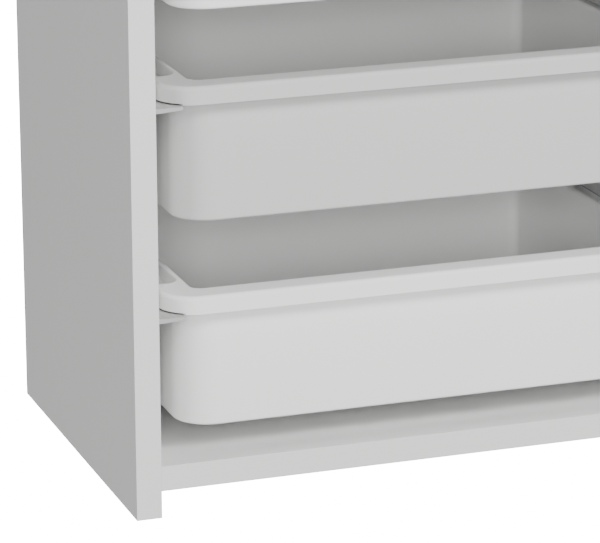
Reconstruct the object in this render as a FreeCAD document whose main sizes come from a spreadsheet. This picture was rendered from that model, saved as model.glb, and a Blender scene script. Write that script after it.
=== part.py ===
import FreeCAD, Part
import os
import Sketcher
from FreeCAD import Placement, Rotation, Vector

# A narrow upright chest without doors. Six shallow moulded bins hang by their side flanges
# on ledges that are screwed to the two side boards, and each bin slides out to the front.
# Millimetres. The origin is on the floor below the middle of the chest: +X to the right
# when facing it, -Y towards its front, +Z up.

doc = FreeCAD.newDocument("bin_chest")
sizes = doc.addObject("Spreadsheet::Sheet", "sizes")

driving_sizes = {
    # Carcass boards
    "carcass_width": 456,
    "carcass_depth": 300,
    "board_thickness": 18.5,
    "foot_height": 20,
    "band_thickness": 0.8,
    "back_thickness": 3,
    "back_lap": 9,
    "back_play": 0.5,
    # Bins in the carcass
    "bin_count": 6,
    "bin_pitch": 150,
    "bin_height": 99.8,
    "bin_below": 21.7,
    "bin_above": 11.5,
    "bin_behind": 2,
    # Rim and flange of a bin
    "ear_clearance": 6.5,
    "ear_length": 39.5,
    "ear_radius": 26,
    "ear_inner_radius": 10,
    "ear_rounding": 1.2,
    "ear_lift": 1,
    "rim_height": 13,
    "rim_rounding": 3,
    "rim_front_width": 22,
    "rim_rear_width": 11,
    "flange_thickness": 3,
    "side_rim_width": 5.5,
    # Tub of a bin
    "tub_front_setback": 12.5,
    "tub_rear_setback": 2,
    "tub_radius": 26,
    "tub_bottom_rounding": 2,
    "tub_side_depth": 12.3,
    "tub_wall": 2.4,
    "tub_floor": 3,
    "cavity_radius": 7,
    "cavity_lip_rounding": 3.4,
    "cavity_floor_rounding": 5,
    # Ledges that carry the bins
    "ledge_width": 19.5,
    "ledge_thickness": 3.4,
    "ledge_tip_thickness": 2.2,
    "ledge_behind": 1,
    "seat_play": 0.3,
    "tub_side_play": 0.6,
    "web_height": 14,
    "web_thickness": 3,
    "web_setback": 18,
    # Wood screws of the ledges
    "screw_count": 3,
    "screw_inset": 40,
    "screw_length": 15,
    "screw_shank_diameter": 3.5,
    "screw_head_diameter": 7,
    "screw_tip_length": 3,
    "screw_play": 0.1,
    # Cam bolts and cam locks of the board joints
    "cam_inset": 50,
    "cam_distance": 24,
    "cam_diameter": 15,
    "cam_length": 12.5,
    "cam_play": 0.1,
    "cam_slot_width": 7.8,
    "cam_slot_overrun": 4,
    "bolt_bite": 11,
    "bolt_thread_diameter": 6,
    "bolt_shank_diameter": 5,
    "bolt_neck_diameter": 3.6,
    "bolt_neck_length": 5,
    "bolt_head_diameter": 7,
    "bolt_head_length": 3,
    "bolt_play": 0.1,
    # Dowels of the board joints
    "dowel_inset": 90,
    "dowel_diameter": 8,
    "dowel_bite": 11,
    "dowel_length": 32,
    "dowel_chamfer": 1,
    "dowel_play": 0.1,
    # Nails of the back panel
    "nail_length": 18,
    "nail_diameter": 1.6,
    "nail_head_diameter": 4.5,
    "nail_head_thickness": 1,
    "nail_rows": 7,
    "nail_columns": 3,
    "nail_end_inset": 35,
    # Extra reach of a cut past the face it opens
    "overrun": 1,
}

for row, (alias, value) in enumerate(driving_sizes.items(), start=1):
    sizes.set(f"A{row}", alias)
    sizes.set(f"B{row}", str(value))
    sizes.setAlias(f"B{row}", alias)
doc.recompute()

# Sizes that follow from the driving ones, as expressions on the sheet.
half_width = "(sizes.carcass_width / 2)"
half_depth = "(sizes.carcass_depth / 2)"
half_inner = f"({half_width} - sizes.board_thickness)"
rebate_depth = "(sizes.back_thickness + sizes.nail_head_thickness)"
rebate_face = f"({half_depth} - {rebate_depth})"
board_front = f"(-{half_depth} + sizes.band_thickness)"
shelf_top = "(sizes.foot_height + sizes.board_thickness)"
lowest_bin = f"({shelf_top} + sizes.bin_below)"
highest_bin = f"({lowest_bin} + (sizes.bin_count - 1) * sizes.bin_pitch)"
top_underside = f"({highest_bin} + sizes.bin_height + sizes.bin_above)"
carcass_height = f"({top_underside} + sizes.board_thickness)"
back_top = f"({top_underside} + sizes.back_lap)"

half_bin = f"(({half_depth} + {rebate_face} - sizes.bin_behind) / 2)"
bin_middle = f"({half_bin} - {half_depth})"
half_ear = f"({half_inner} - sizes.ear_clearance)"
half_tub = f"({half_inner} - sizes.ledge_width - sizes.tub_side_play)"
half_cavity = f"({half_tub} - sizes.tub_side_depth)"
rim_underside = "(sizes.bin_height - sizes.rim_height)"
flange_top = f"({rim_underside} + sizes.flange_thickness)"

half_ledge = f"(({half_depth} + {rebate_face} - sizes.ledge_behind) / 2)"
ledge_middle = f"({half_ledge} - {half_depth})"
web_middle = "(-sizes.ledge_thickness - sizes.web_height / 2)"
screw_step = f"(2 * ({half_ledge} - sizes.screw_inset) / (sizes.screw_count - 1))"

bin_count = int(sizes.bin_count)
screw_count = int(sizes.screw_count)
nail_rows = int(sizes.nail_rows)
nail_columns = int(sizes.nail_columns)
# Two places nearer than this count as one when edges are picked by their place.
touching = 0.001

finished = []


def number(expression):
    result = sizes.evalExpression(expression)
    return float(getattr(result, "Value", result))


def finish(piece, label, x="0", y="0", z="0", turn=0):
    """Name a finished piece and tie its place to the sheet."""
    piece.Label = label
    piece.Placement = Placement(Vector(), Rotation(Vector(0, 0, 1), turn))
    for axis, expression in zip("xyz", (x, y, z)):
        piece.setExpression(f"Placement.Base.{axis}", expression)
    finished.append(piece)
    return piece


# Sketch helpers: every point is tied to the sheet by its distance from the sketch's origin.

def new_sketch(body, name, plane, offset="0"):
    sketch = body.newObject("Sketcher::SketchObject", name)
    support = next(item for item in body.Origin.OriginFeatures if item.Role == plane)
    sketch.AttachmentSupport = [(support, "")]
    sketch.MapMode = "FlatFace"
    sketch.setExpression("AttachmentOffset.Base.z", offset)
    return sketch


def tie(sketch, direction, geometry, point, expression):
    """Hold one coordinate of a sketch point at the value of an expression."""
    distance = number(expression)
    if distance == 0:
        axis = -2 if direction == "DistanceX" else -1
        sketch.addConstraint(Sketcher.Constraint("PointOnObject", geometry, point, axis))
    elif distance > 0:
        index = sketch.addConstraint(
            Sketcher.Constraint(direction, -1, 1, geometry, point, distance))
        sketch.setExpression(f"Constraints[{index}]", expression)
    else:
        index = sketch.addConstraint(
            Sketcher.Constraint(direction, geometry, point, -1, 1, -distance))
        sketch.setExpression(f"Constraints[{index}]", f"-1 * {expression}")


def polygon(sketch, corners):
    spots = [Vector(number(x), number(y), 0) for x, y in corners]
    ends = spots[1:] + spots[:1]
    lines = sketch.addGeometry([Part.LineSegment(a, b) for a, b in zip(spots, ends)], False)
    for line, following in zip(lines, lines[1:] + lines[:1]):
        sketch.addConstraint(Sketcher.Constraint("Coincident", line, 2, following, 1))
    for line, (x, y) in zip(lines, corners):
        tie(sketch, "DistanceX", line, 1, x)
        tie(sketch, "DistanceY", line, 1, y)


def rectangle(sketch, left, front, right, back):
    polygon(sketch, [(left, front), (right, front), (right, back), (left, back)])


def rounded_rectangle(sketch, half_wide, front, back, radius):
    """Rectangle with equal round corners, centred on the sketch's vertical axis."""
    wide, low, high, round_ = number(half_wide), number(front), number(back), number(radius)
    centres = [
        (-wide + round_, low + round_), (wide - round_, low + round_),
        (wide - round_, high - round_), (-wide + round_, high - round_)]
    quarter = FreeCAD.Units.Quantity("90 deg").getValueAs("rad").Value
    arcs = []
    for turn, (x, y) in enumerate(centres, start=2):
        circle = Part.Circle(Vector(x, y, 0), Vector(0, 0, 1), round_)
        arcs.append(Part.ArcOfCircle(circle, turn * quarter, (turn + 1) * quarter))
    sides = []
    for arc, following in zip(arcs, arcs[1:] + arcs[:1]):
        sides.append(Part.LineSegment(arc.EndPoint, following.StartPoint))
    bends = sketch.addGeometry(arcs, False)
    lines = sketch.addGeometry(sides, False)
    for bend, line, following in zip(bends, lines, bends[1:] + bends[:1]):
        sketch.addConstraint(Sketcher.Constraint("Tangent", bend, 2, line, 1))
        sketch.addConstraint(Sketcher.Constraint("Tangent", line, 2, following, 1))
    for line, way in zip(lines, ("Horizontal", "Vertical", "Horizontal", "Vertical")):
        sketch.addConstraint(Sketcher.Constraint(way, line))
    for bend in bends[1:]:
        sketch.addConstraint(Sketcher.Constraint("Equal", bends[0], bend))
    index = sketch.addConstraint(Sketcher.Constraint("Radius", bends[0], round_))
    sketch.setExpression(f"Constraints[{index}]", radius)
    front_line, right_line, back_line, left_line = lines
    tie(sketch, "DistanceY", front_line, 1, front)
    tie(sketch, "DistanceX", right_line, 1, half_wide)
    tie(sketch, "DistanceY", back_line, 1, back)
    tie(sketch, "DistanceX", left_line, 1, f"(-{half_wide})")


def circle(sketch, x, y, diameter):
    ring = Part.Circle(Vector(number(x), number(y), 0), Vector(0, 0, 1), number(diameter) / 2)
    geometry = sketch.addGeometry(ring, False)
    index = sketch.addConstraint(Sketcher.Constraint("Diameter", geometry, number(diameter)))
    sketch.setExpression(f"Constraints[{index}]", diameter)
    tie(sketch, "DistanceX", geometry, 3, x)
    tie(sketch, "DistanceY", geometry, 3, y)


def extrude(body, kind, sketch, length, reverse=False):
    """Pad or pocket a sketch; a pocket that removes nothing is an error."""
    before = body.Shape.Volume if body.Tip else 0
    feature = body.newObject(f"PartDesign::{kind}", f"{kind}_{sketch.Name}")
    feature.Profile = sketch
    feature.Reversed = reverse
    feature.setExpression("Length", length)
    doc.recompute()
    grown = body.Shape.Volume - before
    if (grown > 0) != (kind == "Pad"):
        raise RuntimeError(f"{feature.Name} works in the wrong direction")
    return feature


def dress(body, kind, size_name, size, wanted):
    """Fillet or chamfer the edges of a body that pass a test."""
    base = body.Tip
    edges = [f"Edge{i}" for i, edge in enumerate(base.Shape.Edges, start=1) if wanted(edge.BoundBox)]
    feature = body.newObject(f"PartDesign::{kind}", f"{kind}_{base.Name}")
    feature.Base = (base, edges)
    feature.setExpression(size_name, size)
    doc.recompute()
    return feature


def at(value, target):
    return abs(value - target) < touching


def level(box, height):
    return at(box.ZMin, height) and at(box.ZMax, height)


def upright(box):
    return at(box.XLength, 0) and at(box.YLength, 0)


# Joints of the side boards with the top and the shelf: the same places on both pieces.

def joint_places(rear):
    """Distances along the depth at which cams and dowels stand, for a board's rear edge."""
    cams = [f"(-{half_depth} + sizes.cam_inset)", f"({rear} - sizes.cam_inset)"]
    dowels = [f"(-{half_depth} + sizes.dowel_inset)", f"({rear} - sizes.dowel_inset)"]
    return cams, dowels


cross_boards = {
    "bottom_shelf": {"underside": "sizes.foot_height", "rear": rebate_face},
    "top_panel": {"underside": top_underside, "rear": half_depth},
}


def side_panel(label, side):
    """Side board: rear rebate for the back panel, bores for bolts and dowels on its inner face."""
    body = doc.addObject("PartDesign::Body", label)
    outline = new_sketch(body, f"{label}_outline", "YZ_Plane")
    rectangle(outline, board_front, "0", half_depth, carcass_height)
    extrude(body, "Pad", outline, "sizes.board_thickness", reverse=side > 0)

    inner_face = f"({-side} * sizes.board_thickness)"
    rebate = new_sketch(body, f"{label}_rebate", "YZ_Plane", inner_face)
    rectangle(rebate, rebate_face, "(-sizes.overrun)", f"({half_depth} + sizes.overrun)", back_top)
    extrude(body, "Pocket", rebate, "sizes.back_lap", reverse=side > 0)

    bolt_bores = new_sketch(body, f"{label}_bolt_bores", "YZ_Plane", inner_face)
    dowel_bores = new_sketch(body, f"{label}_dowel_bores", "YZ_Plane", inner_face)
    for board in cross_boards.values():
        middle = f"({board['underside']} + sizes.board_thickness / 2)"
        cams, dowels = joint_places(board["rear"])
        for place in cams:
            circle(bolt_bores, place, middle, "(sizes.bolt_thread_diameter + 2 * sizes.bolt_play)")
        for place in dowels:
            circle(dowel_bores, place, middle, "(sizes.dowel_diameter + 2 * sizes.dowel_play)")
    extrude(body, "Pocket", bolt_bores, "(sizes.bolt_bite + sizes.bolt_play)", reverse=side > 0)
    extrude(body, "Pocket", dowel_bores, "(sizes.dowel_bite + sizes.dowel_play)", reverse=side > 0)
    return finish(body, label, x=f"({side} * {half_width})")


def cross_board(label, underside, rear, rebated):
    """Board between the side boards, bored in both ends and from below for its fittings."""
    body = doc.addObject("PartDesign::Body", label)
    outline = new_sketch(body, f"{label}_outline", "XY_Plane")
    rectangle(outline, f"(-{half_inner})", board_front, half_inner, rear)
    extrude(body, "Pad", outline, "sizes.board_thickness")

    if rebated:
        rebate = new_sketch(body, f"{label}_rebate", "XY_Plane")
        past_end = f"({half_inner} + sizes.overrun)"
        rectangle(rebate, f"(-{past_end})", rebate_face, past_end, f"({rear} + sizes.overrun)")
        extrude(body, "Pocket", rebate, "sizes.back_lap", reverse=True)

    cams, dowels = joint_places(rear)
    locks = new_sketch(body, f"{label}_lock_bores", "XY_Plane")
    for side in (-1, 1):
        for place in cams:
            circle(locks, f"({side} * ({half_inner} - sizes.cam_distance))", place, "sizes.cam_diameter")
    extrude(body, "Pocket", locks, "(sizes.cam_length + sizes.cam_play)", reverse=True)

    for side in (-1, 1):
        end_face = f"({side} * {half_inner})"
        middle = "(sizes.board_thickness / 2)"
        bolt_bores = new_sketch(body, f"{label}_bolt_bores", "YZ_Plane", end_face)
        for place in cams:
            circle(bolt_bores, place, middle, "sizes.cam_slot_width")
        extrude(body, "Pocket", bolt_bores, "sizes.cam_distance", reverse=side < 0)
        dowel_bores = new_sketch(body, f"{label}_dowel_bores", "YZ_Plane", end_face)
        for place in dowels:
            circle(dowel_bores, place, middle, "(sizes.dowel_diameter + 2 * sizes.dowel_play)")
        depth = "(sizes.dowel_length - sizes.dowel_bite + sizes.dowel_play)"
        extrude(body, "Pocket", dowel_bores, depth, reverse=side < 0)
    return finish(body, label, z=underside)


def plain_board(label, wide, deep, tall, x, y, z):
    board = doc.addObject("Part::Box", label)
    for side, expression in (("Length", wide), ("Width", deep), ("Height", tall)):
        board.setExpression(side, expression)
    return finish(board, label, x, y, z)


def front_bands():
    """Thin strips that cover the front edges of the four boards."""
    front = f"(-{half_depth})"
    thick = "sizes.band_thickness"
    for label, x in (("left", f"(-{half_width})"), ("right", half_inner)):
        plain_board(f"front_band_{label}", "sizes.board_thickness", thick, carcass_height, x, front, "0")
    for label, board in cross_boards.items():
        plain_board(f"front_band_{label}", f"(2 * {half_inner})", thick, "sizes.board_thickness",
                    f"(-{half_inner})", front, board["underside"])


def runner(label, side, bin_bottom):
    """Ledge with a web below it; the web lies on the side board and is screwed to it.

    The ledge is level on top and tapers from the web to its tip.
    """
    body = doc.addObject("PartDesign::Body", label)
    ledge = new_sketch(body, f"{label}_ledge", "XZ_Plane", half_ledge)
    root = "(-sizes.ledge_thickness)"
    polygon(ledge, [
        ("0", "0"), ("0", root), ("sizes.web_thickness", root),
        ("sizes.ledge_width", "(-sizes.ledge_tip_thickness)"), ("sizes.ledge_width", "0")])
    extrude(body, "Pad", ledge, f"(2 * {half_ledge})", reverse=True)

    web = new_sketch(body, f"{label}_web", "XY_Plane", "(-sizes.ledge_thickness)")
    half_web = f"({half_ledge} - sizes.web_setback)"
    rectangle(web, "0", f"(-{half_web})", "sizes.web_thickness", half_web)
    extrude(body, "Pad", web, "sizes.web_height", reverse=True)

    bores = new_sketch(body, f"{label}_bores", "YZ_Plane", "sizes.web_thickness")
    bore = "(sizes.screw_shank_diameter + 2 * sizes.screw_play)"
    for place in screw_places():
        circle(bores, place, web_middle, bore)
    extrude(body, "Pocket", bores, "(sizes.web_thickness + sizes.overrun)")
    web_face = sizes.web_thickness
    bore_width = number(bore)
    dress(body, "Chamfer", "Size", "((sizes.screw_head_diameter - sizes.screw_shank_diameter) / 2)",
          lambda box: at(box.XMin, web_face) and at(box.XMax, web_face) and at(box.ZLength, bore_width))
    seat = f"({bin_bottom} + {rim_underside} - sizes.seat_play)"
    return finish(body, label, f"({side} * {half_inner})", ledge_middle, seat, turn=180 if side > 0 else 0)


def screw_places():
    """Distances of a runner's screws from its middle."""
    return [f"({i} * {screw_step} - {half_ledge} + sizes.screw_inset)" for i in range(screw_count)]


def storage_bin(label, bin_bottom):
    """Moulded bin: a tub with inner and outer walls that are open from below, and a broad rim.

    The rim stands up all round the cavity. It is widest at the front and at the four corner
    ears. Between the ears the outer side of the rim steps down to a flange, which runs on
    the ledge. The ears themselves stay clear of the ledge.
    """
    body = doc.addObject("PartDesign::Body", label)
    tub_front = f"(-{half_bin} + sizes.tub_front_setback)"
    tub_back = f"({half_bin} - sizes.tub_rear_setback)"
    tub = new_sketch(body, f"{label}_tub", "XY_Plane")
    rounded_rectangle(tub, half_tub, tub_front, tub_back, "sizes.tub_radius")
    extrude(body, "Pad", tub, rim_underside)
    dress(body, "Fillet", "Radius", "sizes.tub_bottom_rounding", lambda box: level(box, 0))

    rim = new_sketch(body, f"{label}_rim", "XY_Plane", rim_underside)
    rounded_rectangle(rim, half_ear, f"(-{half_bin})", half_bin, "sizes.ear_radius")
    extrude(body, "Pad", rim, "sizes.rim_height")
    rim_top = sizes.bin_height
    dress(body, "Fillet", "Radius", "sizes.rim_rounding", lambda box: level(box, rim_top))

    steps = new_sketch(body, f"{label}_side_steps", "XY_Plane", "sizes.bin_height")
    half_side_rim = f"({half_cavity} + sizes.side_rim_width)"
    past_ear = f"({half_ear} + sizes.overrun)"
    ear_end = f"({half_bin} - sizes.ear_length)"
    rectangle(steps, half_side_rim, f"(-{ear_end})", past_ear, ear_end)
    rectangle(steps, f"(-{past_ear})", f"(-{ear_end})", f"(-{half_side_rim})", ear_end)
    extrude(body, "Pocket", steps, "(sizes.rim_height - sizes.flange_thickness)")
    side_rim, ear_back = number(half_side_rim), number(ear_end)
    dress(body, "Fillet", "Radius", "sizes.ear_inner_radius",
          lambda box: upright(box) and at(abs(box.XMin), side_rim) and at(abs(box.YMin), ear_back))
    dress(body, "Fillet", "Radius", "sizes.ear_rounding",
          lambda box: level(box, rim_top) and at(box.YLength, 0) and at(abs(box.YMin), ear_back))

    cavity = new_sketch(body, f"{label}_cavity", "XY_Plane", "sizes.bin_height")
    cavity_front = f"(-{half_bin} + sizes.rim_front_width)"
    cavity_back = f"({half_bin} - sizes.rim_rear_width)"
    rounded_rectangle(cavity, half_cavity, cavity_front, cavity_back, "sizes.cavity_radius")
    extrude(body, "Pocket", cavity, "(sizes.bin_height - sizes.tub_floor)")
    cavity_side = number(half_cavity) + touching
    dress(body, "Fillet", "Radius", "sizes.cavity_lip_rounding",
          lambda box: level(box, rim_top) and max(-box.XMin, box.XMax) < cavity_side
          and box.YMin > number(cavity_front) - touching and box.YMax < number(cavity_back) + touching)
    floor_height = sizes.tub_floor
    dress(body, "Fillet", "Radius", "sizes.cavity_floor_rounding", lambda box: level(box, floor_height))

    core = new_sketch(body, f"{label}_core", "XY_Plane")
    rounded_rectangle(core, f"({half_tub} - sizes.tub_wall)", f"({tub_front} + sizes.tub_wall)",
                      f"({tub_back} - sizes.tub_wall)", "(sizes.tub_radius - sizes.tub_wall)")
    rounded_rectangle(core, f"({half_cavity} + sizes.tub_wall)", f"({cavity_front} - sizes.tub_wall)",
                      f"({cavity_back} + sizes.tub_wall)", "(sizes.cavity_radius + sizes.tub_wall)")
    extrude(body, "Pocket", core, f"({flange_top} - sizes.tub_wall)", reverse=True)

    lifts = new_sketch(body, f"{label}_ear_lifts", "XY_Plane", rim_underside)
    past_end = f"({half_bin} + sizes.overrun)"
    for left, right in ((half_tub, past_ear), (f"(-{past_ear})", f"(-{half_tub})")):
        rectangle(lifts, left, ear_end, right, past_end)
        rectangle(lifts, left, f"(-{past_end})", right, f"(-{ear_end})")
    extrude(body, "Pocket", lifts, "sizes.ear_lift", reverse=True)
    return finish(body, label, y=bin_middle, z=bin_bottom)


def turned(body_label, profile):
    """Body turned about its own X axis from half an outline."""
    body = doc.addObject("PartDesign::Body", body_label)
    sketch = new_sketch(body, f"{body_label}_profile", "XY_Plane")
    polygon(sketch, profile)
    feature = body.newObject("PartDesign::Revolution", f"{body_label}_turned")
    feature.Profile = sketch
    feature.ReferenceAxis = (sketch, ["H_Axis"])
    doc.recompute()
    return body


def cam_bolt(label, side, place, height):
    """Bolt in the side board whose head reaches into the cam lock."""
    bite = "(-sizes.bolt_bite)"
    head_end = "(sizes.cam_distance + sizes.bolt_head_length / 2)"
    head_start = f"({head_end} - sizes.bolt_head_length)"
    neck_start = f"({head_start} - sizes.bolt_neck_length)"
    thread = "(sizes.bolt_thread_diameter / 2)"
    shank = "(sizes.bolt_shank_diameter / 2)"
    neck = "(sizes.bolt_neck_diameter / 2)"
    head = "(sizes.bolt_head_diameter / 2)"
    body = turned(label, [
        (bite, "0"), (bite, thread), ("0", thread), ("0", shank), (neck_start, shank), (neck_start, neck),
        (head_start, neck), (head_start, head), (head_end, head), (head_end, "0")])
    finish(body, label, f"({side} * {half_inner})", place, height, turn=180 if side > 0 else 0)


def cam_lock(label, side, place, underside):
    """Round lock pressed in from below, slotted towards the joint for the bolt's head."""
    cam = doc.addObject("Part::Cylinder", f"{label}_cam")
    cam.setExpression("Radius", "sizes.cam_diameter / 2 - sizes.cam_play")
    cam.setExpression("Height", "sizes.cam_length")
    slot = doc.addObject("Part::Box", f"{label}_slot")
    slot.setExpression("Length", "sizes.cam_diameter / 2 + sizes.overrun + sizes.cam_slot_overrun")
    slot.setExpression("Width", "sizes.cam_slot_width")
    slot.setExpression("Height", "sizes.cam_length")
    slot.setExpression("Placement.Base.x", "-sizes.cam_diameter / 2 - sizes.overrun")
    slot.setExpression("Placement.Base.y", "-sizes.cam_slot_width / 2")
    slot.setExpression("Placement.Base.z", "sizes.board_thickness / 2 - sizes.cam_slot_width / 2")
    lock = doc.addObject("Part::Cut", label)
    lock.Base = cam
    lock.Tool = slot
    finish(lock, label, f"({side} * ({half_inner} - sizes.cam_distance))", place, underside,
           turn=180 if side > 0 else 0)


def dowel(label, side, place, height):
    """Plain wooden dowel with bevelled ends, part in the side board and part in the cross board."""
    start = "(-sizes.dowel_bite)"
    end = "(sizes.dowel_length - sizes.dowel_bite)"
    radius = "(sizes.dowel_diameter / 2)"
    tip = f"({radius} - sizes.dowel_chamfer)"
    body = turned(label, [
        (start, "0"), (start, tip), (f"({start} + sizes.dowel_chamfer)", radius),
        (f"({end} - sizes.dowel_chamfer)", radius), (end, tip), (end, "0")])
    finish(body, label, f"({side} * {half_inner})", place, height, turn=180 if side > 0 else 0)


def board_fittings():
    count = 0
    for board in cross_boards.values():
        middle = f"({board['underside']} + sizes.board_thickness / 2)"
        cams, dowels = joint_places(board["rear"])
        for side in (-1, 1):
            for cam_place, dowel_place in zip(cams, dowels):
                count += 1
                cam_bolt(f"cam_bolt_{count}", side, cam_place, middle)
                cam_lock(f"cam_lock_{count}", side, cam_place, board["underside"])
                dowel(f"dowel_{count}", side, dowel_place, middle)


def fastener_set(label, fastener, places):
    """All copies of one small fastener as one piece."""
    fasteners = []
    for place in places:
        copy = fastener.copy()
        copy.translate(place)
        fasteners.append(copy)
    group = doc.addObject("Part::Feature", label)
    group.Shape = Part.makeCompound(fasteners)
    finish(group, label)


def runner_screws(label, side):
    """Countersunk wood screws, their heads flush with the face of the webs."""
    shank = sizes.screw_shank_diameter / 2
    head = sizes.screw_head_diameter / 2
    sunk = head - shank
    shaft = sizes.screw_length - sunk - sizes.screw_tip_length
    outward = Vector(side, 0, 0)
    parts = [
        Part.makeCone(head, shank, sunk, Vector(), outward),
        Part.makeCylinder(shank, shaft, outward * sunk, outward),
        Part.makeCone(shank, 0, sizes.screw_tip_length, outward * (sunk + shaft), outward)]
    screw = parts[0].fuse(parts[1:]).removeSplitter()
    x = side * (number(half_inner) - sizes.web_thickness)
    places = []
    for i in range(bin_count):
        seat = number(f"{lowest_bin} + {i} * sizes.bin_pitch + {rim_underside} - sizes.seat_play")
        for place in screw_places():
            places.append(Vector(x, number(f"{ledge_middle} + {place}"), seat + number(web_middle)))
    fastener_set(label, screw, places)


def back_panel_nails():
    """Flat-headed nails through the back panel, their heads level with the boards' rear edges."""
    inward = Vector(0, -1, 0)
    head = Part.makeCylinder(
        sizes.nail_head_diameter / 2, sizes.nail_head_thickness, Vector(), inward)
    shank = Part.makeCylinder(sizes.nail_diameter / 2, sizes.nail_length, Vector(), inward)
    nail = head.fuse(shank).removeSplitter()
    rear = number(half_depth)
    side = number(f"{half_inner} + sizes.back_lap / 2")
    low = number("sizes.foot_height + sizes.nail_end_inset")
    high = number(f"{top_underside} - sizes.nail_end_inset")
    places = []
    for i in range(nail_rows):
        height = low + (high - low) * i / (nail_rows - 1)
        places += [Vector(-side, rear, height), Vector(side, rear, height)]
    reach = number(f"{half_inner} - sizes.nail_end_inset")
    heights = [number("sizes.foot_height + sizes.board_thickness / 2"),
               number(f"{top_underside} + sizes.back_lap / 2")]
    for i in range(nail_columns):
        x = reach * (2 * i / (nail_columns - 1) - 1)
        places += [Vector(x, rear, height) for height in heights]
    fastener_set("back_panel_nails", nail, places)


side_panel("side_panel_left", -1)
side_panel("side_panel_right", 1)
for name, board in cross_boards.items():
    cross_board(name, board["underside"], board["rear"], rebated=board["rear"] == half_depth)
plain_board(
    "back_panel", f"(2 * ({half_inner} + sizes.back_lap - sizes.back_play))", "sizes.back_thickness",
    f"({back_top} - sizes.back_play - sizes.foot_height)",
    f"(-{half_inner} - sizes.back_lap + sizes.back_play)", rebate_face, "sizes.foot_height")
front_bands()
for i in range(bin_count):
    bottom = f"({lowest_bin} + {i} * sizes.bin_pitch)"
    runner(f"runner_left_{i + 1}", -1, bottom)
    runner(f"runner_right_{i + 1}", 1, bottom)
    storage_bin(f"bin_{i + 1}", bottom)
board_fittings()
runner_screws("runner_screws_left", -1)
runner_screws("runner_screws_right", 1)
back_panel_nails()
doc.recompute()

for item in doc.Objects:
    if "Invalid" in item.State or "Error" in item.State:
        raise RuntimeError(f"{item.Label} failed: {item.State}")
for piece in finished:
    if piece.Shape.isNull() or not piece.Shape.isValid():
        raise RuntimeError(f"{piece.Label} has no valid shape")

os.makedirs("parts", exist_ok=True)
for piece in finished:
    piece.Shape.exportStep(f"parts/{piece.Label}.step")
print(f"{len(finished)} pieces written")
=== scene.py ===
import math
import bpy
import numpy as np
from mathutils import Matrix, Vector

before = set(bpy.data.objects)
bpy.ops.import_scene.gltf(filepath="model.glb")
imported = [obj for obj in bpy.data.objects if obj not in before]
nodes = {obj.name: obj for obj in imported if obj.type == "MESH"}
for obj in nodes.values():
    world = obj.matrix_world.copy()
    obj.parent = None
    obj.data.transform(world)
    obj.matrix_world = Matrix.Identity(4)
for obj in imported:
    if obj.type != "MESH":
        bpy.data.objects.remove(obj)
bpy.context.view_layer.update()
scene = bpy.context.scene
print("frame loaded:", len(nodes), "nodes")

# a Mix node's sockets go by number, because their names repeat
share, valueA, valueB, colourA, colourB = 0, 2, 3, 6, 7
mixedColour = 2
noiseDetail = {"soft": 2.0, "even": 3.0, "fine": 4.0, "fibrous": 6.0}      # octaves


def linear(hexColour):
    # sRGB to linear: c / 12.92 up to 0.04045, above it ((c + 0.055) / 1.055) to the power 2.4
    value = np.array([int(hexColour[i:i + 2], 16) for i in (1, 3, 5)]) / 255.0
    mixed = np.where(value <= 0.04045, value / 12.92, ((value + 0.055) / 1.055) ** 2.4)
    return (*mixed.tolist(), 1.0)


def perMetre(millimetres):
    return 1000.0 / millimetres     # Object coordinates are in metres, so this is a texture's scale


def setSockets(tree, node, sockets):
    # a socket takes a fixed value or another node's output
    for name, value in sockets.items():
        if isinstance(value, bpy.types.NodeSocket):
            tree.links.new(value, node.inputs[name])
        else:
            node.inputs[name].default_value = value


def addNode(tree, kind, sockets=None, **settings):
    node = tree.nodes.new(kind)
    for name, value in settings.items():
        setattr(node, name, value)
    setSockets(tree, node, sockets or {})
    return node


def newMaterial(name):
    material = bpy.data.materials.new(name)
    material.use_nodes = True
    tree = material.node_tree
    return material, tree, tree.nodes["Principled BSDF"]


# Camera: a long lens at the photograph's place, front left and a little above.
cameraView = {
    "place": (-0.87313, -2.35222, 0.86609),
    "turnRight": 19.206,        # degrees from straight ahead
    "lookDown": 16.598,
    "roll": -0.2196,
    "lens": 208.352,            # mm
    "sensor": 36.0,
    "nearest": 0.05, "farthest": 100.0,     # m
}


def makeCamera(view):
    turn, dip, roll = (math.radians(view[key]) for key in ("turnRight", "lookDown", "roll"))
    ahead = Vector((math.sin(turn) * math.cos(dip), math.cos(turn) * math.cos(dip), -math.sin(dip)))
    right = Vector((math.cos(turn), -math.sin(turn), 0.0))
    up = right.cross(ahead)
    right, up = (right * math.cos(roll) + up * math.sin(roll),
                 up * math.cos(roll) - right * math.sin(roll))
    data = bpy.data.cameras.new("camera")
    data.lens = view["lens"]
    data.sensor_width = view["sensor"]
    data.clip_start, data.clip_end = view["nearest"], view["farthest"]
    camera = bpy.data.objects.new("camera", data)
    scene.collection.objects.link(camera)
    camera.matrix_world = Matrix((right, up, -ahead)).transposed().to_4x4()
    camera.location = view["place"]
    scene.camera = camera


makeCamera(cameraView)
print("camera set")

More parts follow.
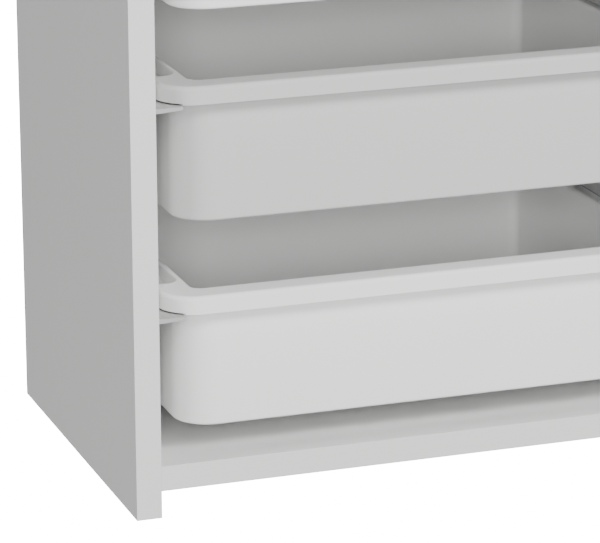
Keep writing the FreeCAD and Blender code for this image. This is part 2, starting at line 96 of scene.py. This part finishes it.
# Melamine foil on particle board: an even, faintly clouded satin white with a fine orange peel.
foilBoard = {
    "foil": "#E3E3E2", "shade": "#DFDFDE", "worn": "#CFCECB",
    "chipLight": "#D6BA90", "chipDark": "#8F6C46",
    "cloud": 140.0,             # mm
    "peel": 2.0,                # mm, drawn coarser than the real 0.5 mm so that it shows
    "peelHeight": 0.00002, "peelStrength": 0.6,
    "gloss": 12.0,              # mm, patches of more and less sheen
    "roughness": (0.36, 0.52), "bareRoughness": 0.92,
    "chip": 2.6,                # mm
    "chipPace": (1.0, 1.0, 0.35),       # flakes drawn out upwards
    "rearFace": 0.14995,        # m, bare chips show behind this
    "footFace": 0.00005,        # m, and below this
    "edgeRound": 0.0005,        # m
    "edgeSamples": 4,
    "wearStart": 0.995, "wearFull": 0.80,       # cosine of the lean at an edge
    "rub": 9.0,                 # mm, breaks in the edge wear
    "ior": 1.5,
}


def makeFoilBoard(values):
    material, tree, shader = newMaterial("melamineFoilBoard")
    place = addNode(tree, "ShaderNodeTexCoord").outputs["Object"]
    cloud = addNode(tree, "ShaderNodeTexNoise", {
        "Vector": place, "Scale": perMetre(values["cloud"]), "Detail": noiseDetail["even"]})
    white = addNode(tree, "ShaderNodeMix", {
        share: cloud.outputs["Fac"], colourA: linear(values["foil"]),
        colourB: linear(values["shade"])}, data_type="RGBA")
    # edge wear: where the rounded normal leaves the flat one, broken up by noise
    soft = addNode(tree, "ShaderNodeBevel", {
        "Radius": values["edgeRound"]}, samples=values["edgeSamples"])
    flat = addNode(tree, "ShaderNodeNewGeometry")
    lean = addNode(tree, "ShaderNodeVectorMath", {
        0: soft.outputs["Normal"], 1: flat.outputs["Normal"]}, operation="DOT_PRODUCT")
    edge = addNode(tree, "ShaderNodeMapRange", {
        "Value": lean.outputs["Value"], "From Min": values["wearStart"],
        "From Max": values["wearFull"]})
    rub = addNode(tree, "ShaderNodeTexNoise", {
        "Vector": place, "Scale": perMetre(values["rub"]), "Detail": noiseDetail["fine"]})
    worn = addNode(tree, "ShaderNodeMath", {
        0: edge.outputs[0], 1: rub.outputs["Fac"]}, operation="MULTIPLY")
    foil = addNode(tree, "ShaderNodeMix", {
        share: worn.outputs[0], colourA: white.outputs[mixedColour],
        colourB: linear(values["worn"])}, data_type="RGBA")
    # bare chips on the rear edges and under the feet
    flakes = addNode(tree, "ShaderNodeMapping", {"Vector": place, "Scale": values["chipPace"]})
    chips = addNode(tree, "ShaderNodeTexVoronoi", {
        "Vector": flakes.outputs[0], "Scale": perMetre(values["chip"])})
    tone = addNode(tree, "ShaderNodeSeparateColor", {"Color": chips.outputs["Color"]})
    wood = addNode(tree, "ShaderNodeMix", {
        share: tone.outputs[0], colourA: linear(values["chipLight"]),
        colourB: linear(values["chipDark"])}, data_type="RGBA")
    axes = addNode(tree, "ShaderNodeSeparateXYZ", {"Vector": place})
    rear = addNode(tree, "ShaderNodeMath", {
        0: axes.outputs["Y"], 1: values["rearFace"]}, operation="GREATER_THAN")
    foot = addNode(tree, "ShaderNodeMath", {
        0: axes.outputs["Z"], 1: values["footFace"]}, operation="LESS_THAN")
    bare = addNode(tree, "ShaderNodeMath", {
        0: rear.outputs[0], 1: foot.outputs[0]}, operation="MAXIMUM")
    colour = addNode(tree, "ShaderNodeMix", {
        share: bare.outputs[0], colourA: foil.outputs[mixedColour],
        colourB: wood.outputs[mixedColour]}, data_type="RGBA")
    gloss = addNode(tree, "ShaderNodeTexNoise", {
        "Vector": place, "Scale": perMetre(values["gloss"]), "Detail": noiseDetail["fine"]})
    low, high = values["roughness"]
    sheen = addNode(tree, "ShaderNodeMapRange", {
        "Value": gloss.outputs["Fac"], "To Min": low, "To Max": high})
    rough = addNode(tree, "ShaderNodeMix", {
        share: bare.outputs[0], valueA: sheen.outputs[0], valueB: values["bareRoughness"]})
    peel = addNode(tree, "ShaderNodeTexNoise", {
        "Vector": place, "Scale": perMetre(values["peel"]), "Detail": noiseDetail["soft"]})
    bump = addNode(tree, "ShaderNodeBump", {
        "Height": peel.outputs["Fac"], "Distance": values["peelHeight"],
        "Strength": values["peelStrength"], "Normal": soft.outputs["Normal"]})
    setSockets(tree, shader, {
        "Base Color": colour.outputs[mixedColour], "Roughness": rough.outputs[0],
        "Normal": bump.outputs[0], "IOR": values["ior"]})
    return material


# ABS edge band: extruded, so its fine satin lines run along the edge it covers.
edgeBand = {
    "band": "#E0E0DF", "line": "#DBDBDA",
    "spacing": 0.9,             # mm between lines, real ones are finer
    "stretch": 0.02,            # share of the pattern's pace along the edge
    "lineHeight": 0.000015, "lineStrength": 0.5,
    "roughness": (0.38, 0.50),
    "edgeRound": 0.0004,        # m
    "edgeSamples": 4,
    "ior": 1.53,
}


def makeEdgeBand(values, name, along):
    material, tree, shader = newMaterial(name)
    place = addNode(tree, "ShaderNodeTexCoord").outputs["Object"]
    pace = [values["stretch"] if axis == along else 1.0 for axis in "XYZ"]
    drawn = addNode(tree, "ShaderNodeMapping", {"Vector": place, "Scale": pace})
    lines = addNode(tree, "ShaderNodeTexNoise", {
        "Vector": drawn.outputs[0], "Scale": perMetre(values["spacing"]),
        "Detail": noiseDetail["even"]})
    colour = addNode(tree, "ShaderNodeMix", {
        share: lines.outputs["Fac"], colourA: linear(values["band"]),
        colourB: linear(values["line"])}, data_type="RGBA")
    low, high = values["roughness"]
    sheen = addNode(tree, "ShaderNodeMapRange", {
        "Value": lines.outputs["Fac"], "To Min": low, "To Max": high})
    soft = addNode(tree, "ShaderNodeBevel", {
        "Radius": values["edgeRound"]}, samples=values["edgeSamples"])
    bump = addNode(tree, "ShaderNodeBump", {
        "Height": lines.outputs["Fac"], "Distance": values["lineHeight"],
        "Strength": values["lineStrength"], "Normal": soft.outputs["Normal"]})
    setSockets(tree, shader, {
        "Base Color": colour.outputs[mixedColour], "Roughness": sheen.outputs[0],
        "Normal": bump.outputs[0], "IOR": values["ior"]})
    return material


# Hardboard: rolled white paint on the smooth face, and behind it bare brown fibre with the
# print of the press screen.
hardboard = {
    "paint": "#E3E3E2", "paintShade": "#DFDFDE", "fibre": "#A98560", "fibreDark": "#7F5F40",
    "roller": 3.0,              # mm, stipple of the paint roller
    "stippleHeight": 0.00004, "stippleStrength": 0.6,
    "screen": 2.4,              # mm, wire spacing of the press screen, drawn coarser to show
    "screenHeight": 0.00012, "screenStrength": 0.7,
    "fleck": 5.0,               # mm
    "fleckRoughness": 0.7,      # how much of its fine detail a fleck keeps
    "rearFace": 0.1487,         # m
    "paintRoughness": 0.5, "fibreRoughness": 0.85,
}


def makeHardboard(values):
    material, tree, shader = newMaterial("paintedHardboard")
    place = addNode(tree, "ShaderNodeTexCoord").outputs["Object"]
    axes = addNode(tree, "ShaderNodeSeparateXYZ", {"Vector": place})
    rear = addNode(tree, "ShaderNodeMath", {
        0: axes.outputs["Y"], 1: values["rearFace"]}, operation="GREATER_THAN")
    stipple = addNode(tree, "ShaderNodeTexNoise", {
        "Vector": place, "Scale": perMetre(values["roller"]), "Detail": noiseDetail["even"]})
    paint = addNode(tree, "ShaderNodeMix", {
        share: stipple.outputs["Fac"], colourA: linear(values["paint"]),
        colourB: linear(values["paintShade"])}, data_type="RGBA")
    fleck = addNode(tree, "ShaderNodeTexNoise", {
        "Vector": place, "Scale": perMetre(values["fleck"]), "Detail": noiseDetail["fibrous"],
        "Roughness": values["fleckRoughness"]})
    fibre = addNode(tree, "ShaderNodeMix", {
        share: fleck.outputs["Fac"], colourA: linear(values["fibre"]),
        colourB: linear(values["fibreDark"])}, data_type="RGBA")
    # press screen: two sets of fine waves at right angles, one wave for each wire
    turns = 2.0 * math.pi * perMetre(values["screen"])
    waves = []
    for axis in "XZ":
        phase = addNode(tree, "ShaderNodeMath", {
            0: axes.outputs[axis], 1: turns}, operation="MULTIPLY")
        waves.append(addNode(tree, "ShaderNodeMath", {0: phase.outputs[0]}, operation="SINE"))
    screen = addNode(tree, "ShaderNodeMath", {
        0: waves[0].outputs[0], 1: waves[1].outputs[0]}, operation="MULTIPLY")
    pressed = addNode(tree, "ShaderNodeMath", {
        0: screen.outputs[0], 1: rear.outputs[0]}, operation="MULTIPLY")
    colour = addNode(tree, "ShaderNodeMix", {
        share: rear.outputs[0], colourA: paint.outputs[mixedColour],
        colourB: fibre.outputs[mixedColour]}, data_type="RGBA")
    rough = addNode(tree, "ShaderNodeMix", {
        share: rear.outputs[0], valueA: values["paintRoughness"],
        valueB: values["fibreRoughness"]})
    rolled = addNode(tree, "ShaderNodeBump", {
        "Height": stipple.outputs["Fac"], "Strength": values["stippleStrength"],
        "Distance": values["stippleHeight"]})
    bump = addNode(tree, "ShaderNodeBump", {
        "Height": pressed.outputs[0], "Strength": values["screenStrength"],
        "Distance": values["screenHeight"], "Normal": rolled.outputs[0]})
    setSockets(tree, shader, {
        "Base Color": colour.outputs[mixedColour], "Roughness": rough.outputs[0],
        "Normal": bump.outputs[0]})
    return material


# Moulded polypropylene: nearly opaque, slightly waxy, with the fine grain of a spark eroded mould.
# A bin's inside and flanks get another tint, painted light and shade that the lamps don't give, as
# if some light came through the walls.
binPlastic = {
    "tints": {
        # the inside tint is painted light and shade: the cavity as lit by its own walls
        "polypropyleneWhite": {"outside": "#F3F3F2", "paintedBounceInside": "#EFEFEE", "rubFacing": -1.0},
        "polypropyleneGrey": {"outside": "#C5C5C4", "paintedBounceInside": "#E2E2E1", "rubFacing": -1.0},
        "polypropyleneRunner": {"outside": "#ADADAC", "paintedBounceInside": "#ADADAC", "rubFacing": 1.0},
    },                          # rubFacing: -1 where the underside rubs, 1 where the top does
    "insideX": 0.1785, "insideFront": -0.1295, "insideBack": 0.1345,    # m, lip of the cavity
    "insideLean": -0.5,         # faces that look further down aren't in the cavity
    "paintedFlankLightStart": 0.65, "paintedFlankLightFull": 0.98,      # how far a face looks sideways, 1 is straight
    "paintedFlankLightShare": 0.7,          # of the way to the inside tint: painted light on the sides that face the boards
    "shadeShare": 0.965,        # brightness left in the flow marks
    "cloud": 70.0,              # mm, slow flow marks
    "cloudTwist": 0.6,
    "grain": 0.9,               # mm, drawn coarser than the real 0.2 mm so that it shows
    "grainHeight": 0.000012, "grainStrength": 0.5,
    "roughness": (0.64, 0.76),
    "rub": 1.5,                 # mm between the rub lines of the faces that slide
    "rubPace": (1.0, 0.03, 1.0),        # drawn out along the slide
    "rubStart": 0.1895,         # m from the middle, outside the tub
    "rubLevel": 0.9,            # faces this near to level
    "rubRange": (0.52, 0.72),   # noise at which a line starts and is full
    "rubColour": "#C9C9C7", "rubRoughness": 0.15,
    "paintedGapShade": "#787876",          # painted shade on the ledges' front ends, in the narrow gap where an ear lies close above them
    "paintedGapShadeReach": 0.004, "paintedGapShadeEnd": -0.110,      # m
    "paintedGapShadeOpen": 0.6, "paintedGapShadeClosed": 0.1,         # share of free space over a spot
    "paintedGapShadeSamples": 8,
    "ior": 1.49,
}


def makeBinPlastic(values, name):
    tint = values["tints"][name]
    material, tree, shader = newMaterial(name)
    place = addNode(tree, "ShaderNodeTexCoord").outputs["Object"]
    axes = addNode(tree, "ShaderNodeSeparateXYZ", {"Vector": place})
    aside = addNode(tree, "ShaderNodeMath", {0: axes.outputs["X"]}, operation="ABSOLUTE")
    surface = addNode(tree, "ShaderNodeNewGeometry")
    facing = addNode(tree, "ShaderNodeSeparateXYZ", {"Vector": surface.outputs["Normal"]})
    # the cavity's tint is painted bounce light: between its lips, on all faces that don't look down
    limits = {"insideX": (aside.outputs[0], "LESS_THAN"),
              "insideFront": (axes.outputs["Y"], "GREATER_THAN"),
              "insideBack": (axes.outputs["Y"], "LESS_THAN"),
              "insideLean": (facing.outputs["Z"], "GREATER_THAN")}
    tests = [addNode(tree, "ShaderNodeMath", {0: measure, 1: values[limit]}, operation=relation)
             for limit, (measure, relation) in limits.items()]
    paintedBounceInside = tests[0]
    for test in tests[1:]:
        paintedBounceInside = addNode(tree, "ShaderNodeMath", {
            0: paintedBounceInside.outputs[0], 1: test.outputs[0]}, operation="MULTIPLY")
    # painted light: the sides that face the boards come near the inside tint, paler than the lamps
    # make them
    sideways = addNode(tree, "ShaderNodeMath", {0: facing.outputs["X"]}, operation="ABSOLUTE")
    paintedFlankLight = addNode(tree, "ShaderNodeMapRange", {
        "Value": sideways.outputs[0], "From Min": values["paintedFlankLightStart"],
        "From Max": values["paintedFlankLightFull"], "To Max": values["paintedFlankLightShare"]})
    paintedLightMask = addNode(tree, "ShaderNodeMath", {
        0: paintedBounceInside.outputs[0], 1: paintedFlankLight.outputs[0]}, operation="MAXIMUM")
    # painted light: where the mask says, the outside colour gives way to the inside tint
    base = addNode(tree, "ShaderNodeMix", {
        share: paintedLightMask.outputs[0], colourA: linear(tint["outside"]),
        colourB: linear(tint["paintedBounceInside"])}, data_type="RGBA")
    shade = addNode(tree, "ShaderNodeMix", {
        share: 1.0 - values["shadeShare"], colourA: base.outputs[mixedColour],
        colourB: linear("#000000")}, data_type="RGBA")
    cloud = addNode(tree, "ShaderNodeTexNoise", {
        "Vector": place, "Scale": perMetre(values["cloud"]), "Detail": noiseDetail["even"],
        "Distortion": values["cloudTwist"]})
    body = addNode(tree, "ShaderNodeMix", {
        share: cloud.outputs["Fac"], colourA: base.outputs[mixedColour],
        colourB: shade.outputs[mixedColour]}, data_type="RGBA")
    # rub lines where a flange runs on a ledge: under the one, on top of the other
    outside = addNode(tree, "ShaderNodeMath", {
        0: aside.outputs[0], 1: values["rubStart"]}, operation="GREATER_THAN")
    level = addNode(tree, "ShaderNodeMath", {
        0: facing.outputs["Z"], 1: tint["rubFacing"]}, operation="MULTIPLY")
    slides = addNode(tree, "ShaderNodeMath", {
        0: level.outputs[0], 1: values["rubLevel"]}, operation="GREATER_THAN")
    rim = addNode(tree, "ShaderNodeMath", {
        0: outside.outputs[0], 1: slides.outputs[0]}, operation="MULTIPLY")
    drawn = addNode(tree, "ShaderNodeMapping", {"Vector": place, "Scale": values["rubPace"]})
    lines = addNode(tree, "ShaderNodeTexNoise", {
        "Vector": drawn.outputs[0], "Scale": perMetre(values["rub"]),
        "Detail": noiseDetail["fine"]})
    low, high = values["rubRange"]
    deep = addNode(tree, "ShaderNodeMapRange", {
        "Value": lines.outputs["Fac"], "From Min": low, "From Max": high})
    rubbed = addNode(tree, "ShaderNodeMath", {
        0: rim.outputs[0], 1: deep.outputs[0]}, operation="MULTIPLY")
    colour = addNode(tree, "ShaderNodeMix", {
        share: rubbed.outputs[0], colourA: body.outputs[mixedColour],
        colourB: linear(values["rubColour"])}, data_type="RGBA")
    # painted shade: ambient occlusion darkens the runner's top in the narrow gap under an ear
    if tint["rubFacing"] > 0.0:
        gap = addNode(tree, "ShaderNodeAmbientOcclusion", {
            "Distance": values["paintedGapShadeReach"]}, samples=values["paintedGapShadeSamples"])
        narrow = addNode(tree, "ShaderNodeMapRange", {
            "Value": gap.outputs["AO"], "From Min": values["paintedGapShadeOpen"],
            "From Max": values["paintedGapShadeClosed"]})
        end = addNode(tree, "ShaderNodeMath", {
            0: axes.outputs["Y"], 1: values["paintedGapShadeEnd"]}, operation="LESS_THAN")
        paintedGapShade = addNode(tree, "ShaderNodeMath", {
            0: narrow.outputs[0], 1: end.outputs[0]}, operation="MULTIPLY")
        colour = addNode(tree, "ShaderNodeMix", {
            share: paintedGapShade.outputs[0], colourA: colour.outputs[mixedColour],
            colourB: linear(values["paintedGapShade"])}, data_type="RGBA")
    grain = addNode(tree, "ShaderNodeTexNoise", {
        "Vector": place, "Scale": perMetre(values["grain"]), "Detail": noiseDetail["soft"]})
    low, high = values["roughness"]
    sheen = addNode(tree, "ShaderNodeMapRange", {
        "Value": cloud.outputs["Fac"], "To Min": low, "To Max": high})
    rough = addNode(tree, "ShaderNodeMath", {
        0: rubbed.outputs[0], 1: values["rubRoughness"], 2: sheen.outputs[0]},
        operation="MULTIPLY_ADD")
    bump = addNode(tree, "ShaderNodeBump", {
        "Height": grain.outputs["Fac"], "Strength": values["grainStrength"],
        "Distance": values["grainHeight"]})
    setSockets(tree, shader, {
        "Base Color": colour.outputs[mixedColour], "Roughness": rough.outputs[0],
        "Normal": bump.outputs[0], "IOR": values["ior"]})
    return material


# Zinc plated steel is bright, with small patches of uneven sheen. Cast zinc is a duller grey
# with a coarse skin.
fittingMetal = {
    "zincPlatedSteel": {"light": "#C6C8CC", "dark": "#A9ACB2", "patch": 1.6,    # mm
                        "roughness": (0.26, 0.40), "height": 0.00001, "strength": 0.6},
    "castZinc": {"light": "#A3A3A6", "dark": "#7E7E82", "patch": 0.7,
                 "roughness": (0.45, 0.60), "height": 0.00003, "strength": 0.6},
}


def makeMetal(name, values):
    material, tree, shader = newMaterial(name)
    place = addNode(tree, "ShaderNodeTexCoord").outputs["Object"]
    patch = addNode(tree, "ShaderNodeTexNoise", {
        "Vector": place, "Scale": perMetre(values["patch"]), "Detail": noiseDetail["even"]})
    colour = addNode(tree, "ShaderNodeMix", {
        share: patch.outputs["Fac"], colourA: linear(values["light"]),
        colourB: linear(values["dark"])}, data_type="RGBA")
    low, high = values["roughness"]
    rough = addNode(tree, "ShaderNodeMapRange", {
        "Value": patch.outputs["Fac"], "To Min": low, "To Max": high})
    bump = addNode(tree, "ShaderNodeBump", {
        "Height": patch.outputs["Fac"], "Strength": values["strength"],
        "Distance": values["height"]})
    setSockets(tree, shader, {
        "Base Color": colour.outputs[mixedColour], "Roughness": rough.outputs[0],
        "Normal": bump.outputs[0], "Metallic": 1.0})
    return material


# Beech dowel: pale pinkish wood with short dark flecks along the grain.
beech = {
    "wood": "#CFA97B", "fleckColour": "#A87C4E",
    "fleck": 0.8,               # mm
    "fleckPace": (0.12, 1.0, 1.0),      # the grain runs along X
    "fleckRange": (0.45, 0.7),
    "fleckHeight": 0.00005, "fleckStrength": 0.5,
    "roughness": 0.7,
}


def makeBeech(values):
    material, tree, shader = newMaterial("beechDowel")
    place = addNode(tree, "ShaderNodeTexCoord").outputs["Object"]
    drawn = addNode(tree, "ShaderNodeMapping", {"Vector": place, "Scale": values["fleckPace"]})
    fleck = addNode(tree, "ShaderNodeTexNoise", {
        "Vector": drawn.outputs[0], "Scale": perMetre(values["fleck"]),
        "Detail": noiseDetail["fine"]})
    low, high = values["fleckRange"]
    sharp = addNode(tree, "ShaderNodeMapRange", {
        "Value": fleck.outputs["Fac"], "From Min": low, "From Max": high})
    colour = addNode(tree, "ShaderNodeMix", {
        share: sharp.outputs[0], colourA: linear(values["wood"]),
        colourB: linear(values["fleckColour"])}, data_type="RGBA")
    bump = addNode(tree, "ShaderNodeBump", {
        "Height": fleck.outputs["Fac"], "Strength": values["fleckStrength"],
        "Distance": values["fleckHeight"]})
    setSockets(tree, shader, {
        "Base Color": colour.outputs[mixedColour], "Normal": bump.outputs[0],
        "Roughness": values["roughness"]})
    return material


boardFinish = makeFoilBoard(foilBoard)
bandFinish = {"upright": makeEdgeBand(edgeBand, "edgeBandUpright", "Z"),
              "level": makeEdgeBand(edgeBand, "edgeBandLevel", "X")}
backFinish = makeHardboard(hardboard)
plasticFinish = {name: makeBinPlastic(binPlastic, name) for name in binPlastic["tints"]}
metalFinish = {name: makeMetal(name, values) for name, values in fittingMetal.items()}
dowelFinish = makeBeech(beech)


def finishOf(name):
    if name.startswith("bin_"):
        isOdd = int(name.split("_")[1]) % 2 == 1
        return plasticFinish["polypropyleneWhite" if isOdd else "polypropyleneGrey"]
    if name.startswith("front_band"):
        return bandFinish["upright" if name.endswith(("left", "right")) else "level"]
    if name.startswith(("runner_screws", "cam_bolt")) or name.endswith("nails"):
        return metalFinish["zincPlatedSteel"]
    if name.startswith("runner"):
        return plasticFinish["polypropyleneRunner"]
    if name.startswith("cam_lock"):
        return metalFinish["castZinc"]
    if name.startswith("dowel"):
        return dowelFinish
    return backFinish if name == "back_panel" else boardFinish


for name, node in nodes.items():
    node.material_slots[0].material = finishOf(name)
print("finishes assigned")

# Studio: a seamless pale floor, soft lights in front and behind, and the floor's glow from below.
backdrop = {
    "flat": 9.0, "bend": 3.0, "wall": 14.0,     # m
    "bendPoints": 13, "turnPoints": 64,
    "paper": "#F7F7F7", "glow": 18.0, "roughness": 0.9,
}
softLights = {
    "highRight": {"place": (1.35, -2.15, 1.94), "size": 0.8, "power": 88.0},
    "highLeft": {"place": (-0.35, -2.51, 1.94), "size": 0.8, "power": 33.0},
    "besideCamera": {"place": (-0.9, -2.5, 0.9), "size": 0.6, "power": 44.0},
    "behindLeft": {"place": (-1.0, 2.8, 2.0), "size": 1.8, "power": 40.0},
    "behindRight": {"place": (0.3, 2.9, 2.0), "size": 1.8, "power": 200.0},
}
lightAim = (0.0, 0.0, 0.35)
floorGlow = {"colour": "#FFFFFF", "below": 2.1}


def makeBackdrop(values):
    # a profile turned round the upright axis: flat floor, quarter circle, straight wall
    bend = np.linspace(0.0, math.pi / 2, values["bendPoints"])
    reach = values["flat"] + values["bend"]
    radius = np.concatenate(([0.0], values["flat"] + values["bend"] * np.sin(bend), [reach]))
    height = np.concatenate(([0.0], values["bend"] * (1.0 - np.cos(bend)), [values["wall"]]))
    turn = np.linspace(0.0, 2.0 * math.pi, values["turnPoints"], endpoint=False)
    points = np.stack((np.outer(radius, np.cos(turn)), np.outer(radius, np.sin(turn)),
                       np.repeat(height[:, None], len(turn), axis=1)), axis=2).reshape(-1, 3)
    row, column = np.meshgrid(np.arange(len(radius) - 1), np.arange(len(turn)), indexing="ij")
    beside = (column + 1) % len(turn)
    corner = [row * len(turn) + column, (row + 1) * len(turn) + column,
              (row + 1) * len(turn) + beside, row * len(turn) + beside]
    faces = np.stack(corner, axis=2).reshape(-1, 4)
    mesh = bpy.data.meshes.new("backdrop")
    mesh.from_pydata(points.tolist(), [], faces.tolist())
    mesh.shade_smooth()
    paper, tree, shader = newMaterial("backdropPaper")
    setSockets(tree, shader, {
        "Base Color": linear(values["paper"]), "Roughness": values["roughness"],
        "Emission Color": linear(values["paper"]), "Emission Strength": values["glow"]})
    mesh.materials.append(paper)
    floor = bpy.data.objects.new("backdrop", mesh)
    scene.collection.objects.link(floor)
    # only the camera sees it, so its glow lights nothing
    floor.visible_diffuse = floor.visible_glossy = floor.visible_shadow = False
    floor.visible_transmission = floor.visible_volume_scatter = False


def makeLight(name, values):
    data = bpy.data.lights.new(name, "AREA")
    data.shape = "SQUARE"
    data.size = values["size"]
    data.energy = values["power"]
    light = bpy.data.objects.new(name, data)
    scene.collection.objects.link(light)
    light.location = values["place"]
    aim = Vector(lightAim) - light.location
    light.rotation_euler = aim.to_track_quat("-Z", "Y").to_euler()
    light.visible_camera = False


def makeFloorGlow(values):
    # the strength grows from nothing at the horizon to its full value straight below
    world = bpy.data.worlds.new("floorGlow")
    world.use_nodes = True
    tree = world.node_tree
    place = addNode(tree, "ShaderNodeTexCoord").outputs["Generated"]
    way = addNode(tree, "ShaderNodeSeparateXYZ", {"Vector": place})
    below = addNode(tree, "ShaderNodeMapRange", {
        "Value": way.outputs["Z"], "From Min": 0.0, "From Max": -1.0, "To Max": values["below"]})
    setSockets(tree, tree.nodes["Background"], {
        "Color": linear(values["colour"]), "Strength": below.outputs[0]})
    scene.world = world


makeBackdrop(backdrop)
for name, values in softLights.items():
    makeLight(name, values)
makeFloorGlow(floorGlow)
scene.view_settings.view_transform = "AgX"      # soft whites, as in the photograph
print("studio lit")
